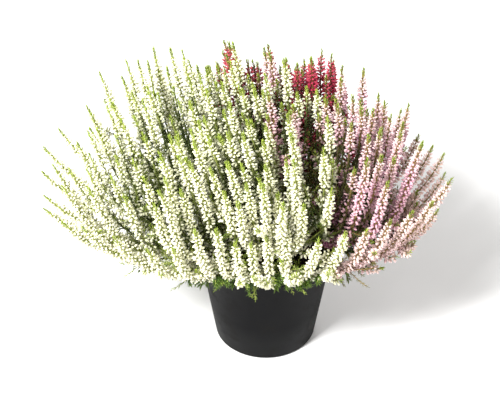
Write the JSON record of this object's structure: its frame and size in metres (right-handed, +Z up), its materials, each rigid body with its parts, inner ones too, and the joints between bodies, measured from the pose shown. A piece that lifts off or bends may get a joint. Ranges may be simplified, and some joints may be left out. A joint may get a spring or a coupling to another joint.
{
  "type": "potted heather",
  "caption": "Bud heather in white, pale pink and crimson, planted together in a plain round tapered nursery pot of dark plastic.",
  "frame": {"origin": "the middle of the pot's flat base, on the surface that the pot stands on", "axes": "+Z up; -Y is the front, where the white blooms are; +X is the side of the pink ones"},
  "size_m": [0.3616, 0.2338, 0.2899],
  "materials": {
    "pot": "satin",
    "soil": "matte",
    "white_heather": "matte",
    "pink_heather": "matte",
    "crimson_heather": "matte",
    "foliage": "matte"
  },
  "bodies": {
    "root": {"crimson_spray_01": "crimson_heather", "crimson_spray_02": "crimson_heather", "crimson_spray_03": "crimson_heather", "crimson_spray_04": "crimson_heather", "crimson_spray_05": "crimson_heather", "crimson_spray_06": "crimson_heather", "crimson_spray_07": "crimson_heather", "pink_spray_01": "pink_heather", "pink_spray_02": "pink_heather", "pink_spray_03": "pink_heather", "pink_spray_04": "pink_heather", "pink_spray_05": "pink_heather", "pink_spray_06": "pink_heather", "pink_spray_07": "pink_heather", "pink_spray_08": "pink_heather", "pink_spray_09": "pink_heather", "pink_spray_10": "pink_heather", "pot": "pot", "soil": "soil", "white_spray_01": "white_heather", "white_spray_02": "white_heather", "white_spray_03": "white_heather", "white_spray_04": "white_heather", "white_spray_05": "white_heather", "white_spray_06": "white_heather", "white_spray_07": "white_heather", "white_spray_08": "white_heather", "white_spray_09": "white_heather", "white_spray_10": "white_heather", "white_spray_11": "white_heather", "white_spray_12": "white_heather", "white_spray_13": "white_heather", "white_spray_14": "white_heather", "white_spray_15": "white_heather", "white_spray_16": "white_heather", "white_spray_17": "white_heather", "white_spray_18": "white_heather", "white_spray_19": "white_heather", "white_spray_20": "white_heather", "white_spray_21": "white_heather", "white_spray_22": "white_heather", "white_spray_23": "white_heather", "white_spray_24": "white_heather", "white_spray_25": "white_heather", "white_spray_26": "white_heather", "white_spray_27": "white_heather", "white_spray_28": "white_heather", "white_spray_29": "white_heather", "white_spray_30": "white_heather", "white_spray_31": "white_heather"}
  },
  "joints": []
}
